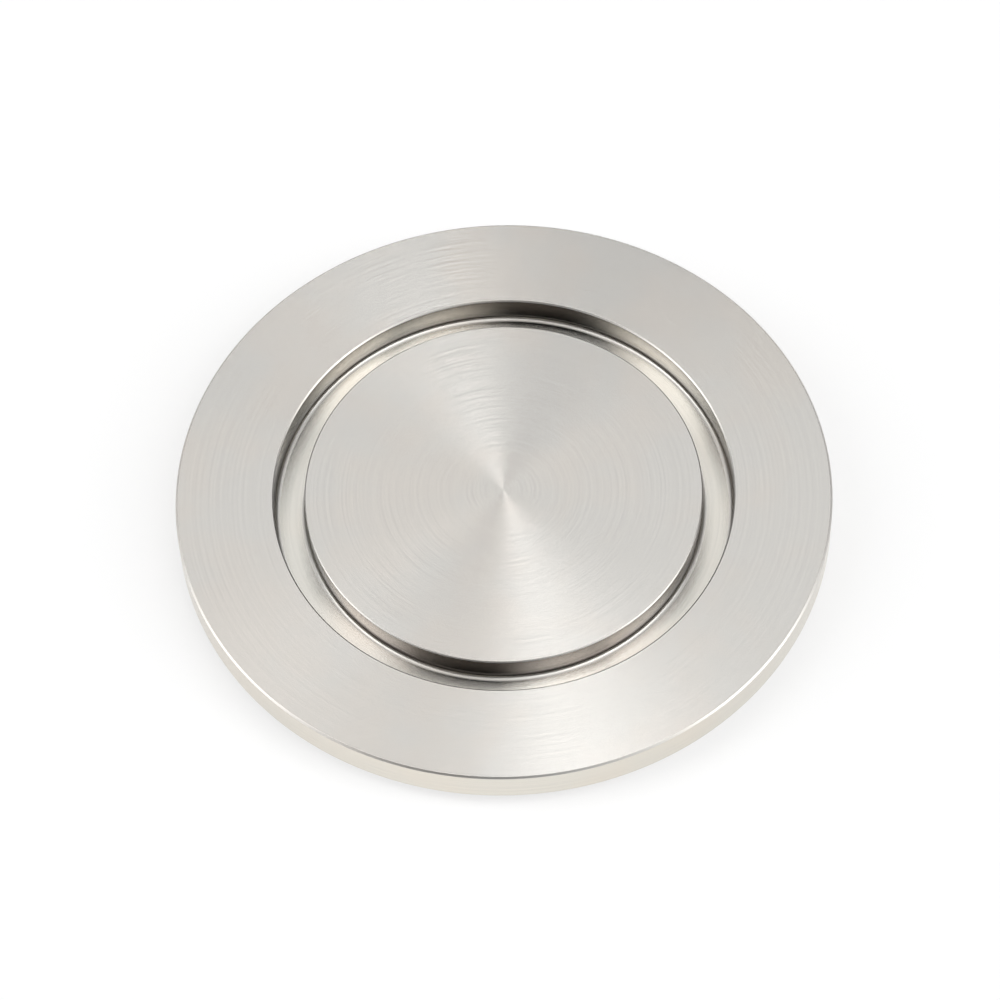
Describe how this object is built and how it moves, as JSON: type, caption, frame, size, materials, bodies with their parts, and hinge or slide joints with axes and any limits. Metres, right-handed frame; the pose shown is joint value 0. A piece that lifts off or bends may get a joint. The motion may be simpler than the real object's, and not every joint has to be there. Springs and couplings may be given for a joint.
{
  "type": "blind flange",
  "caption": "Round steel closing flange for a clamped vacuum pipe joint, with a flat sealing face, a groove for the centring ring round a plain centre boss, and a coned back.",
  "frame": {"origin": "centre of the flat back face that the flange rests on", "axes": "+Z along the axis of the turning, out of the sealing face; X and Y are alike, because the part is round"},
  "size_m": [0.075, 0.075, 0.006],
  "materials": {
    "turned_steel": "bare stainless steel with fine concentric turning marks"
  },
  "bodies": {
    "root": {"blind_flange": "turned_steel"}
  },
  "joints": []
}
